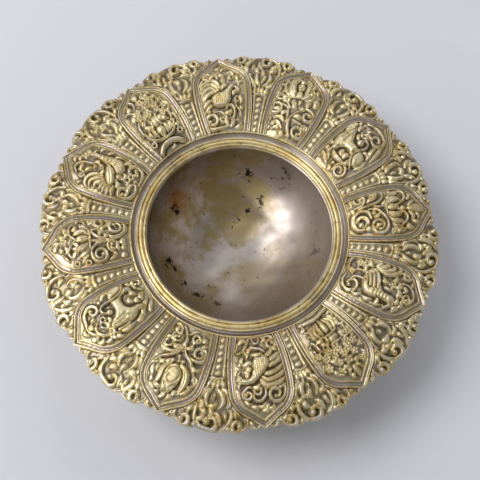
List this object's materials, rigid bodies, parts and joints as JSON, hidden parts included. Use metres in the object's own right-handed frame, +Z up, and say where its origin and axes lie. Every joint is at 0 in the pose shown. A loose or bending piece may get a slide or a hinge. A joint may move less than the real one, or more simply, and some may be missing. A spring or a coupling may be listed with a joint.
{
  "type": "offering bowl",
  "caption": "Round footed silver bowl with a wide flat rim of framed, domed gilt petals and a scalloped edge of volutes, for carrying offerings.",
  "frame": {"origin": "centre of the foot's underside, on the bowl's axis", "axes": "+Z up along the bowl's axis; +Y towards the middle of petal_01"},
  "size_m": [0.2824, 0.2824, 0.0779],
  "materials": {
    "bowl_silver": "tarnished silver, satin, with olive and brown stains",
    "lip_gilt": "worn gilding over silver",
    "channel_silver": "lilac-grey tarnished silver with gilt patches",
    "rim_gilt": "worn gilding, dark in the recesses",
    "petal_gilt": "worn gilding, silver in the frame's groove, dark in the recesses",
    "foot_silver": "tarnished silver"
  },
  "bodies": {
    "root": {"bowl": "bowl_silver", "lip_moulding": "lip_gilt", "collar": "channel_silver", "rim_sheet": "rim_gilt", "foot_ring": "foot_silver", "petal_01": "petal_gilt", "petal_02": "petal_gilt", "petal_03": "petal_gilt", "petal_04": "petal_gilt", "petal_05": "petal_gilt", "petal_06": "petal_gilt", "petal_07": "petal_gilt", "petal_08": "petal_gilt", "petal_09": "petal_gilt", "petal_10": "petal_gilt", "petal_11": "petal_gilt", "petal_12": "petal_gilt"}
  },
  "joints": []
}
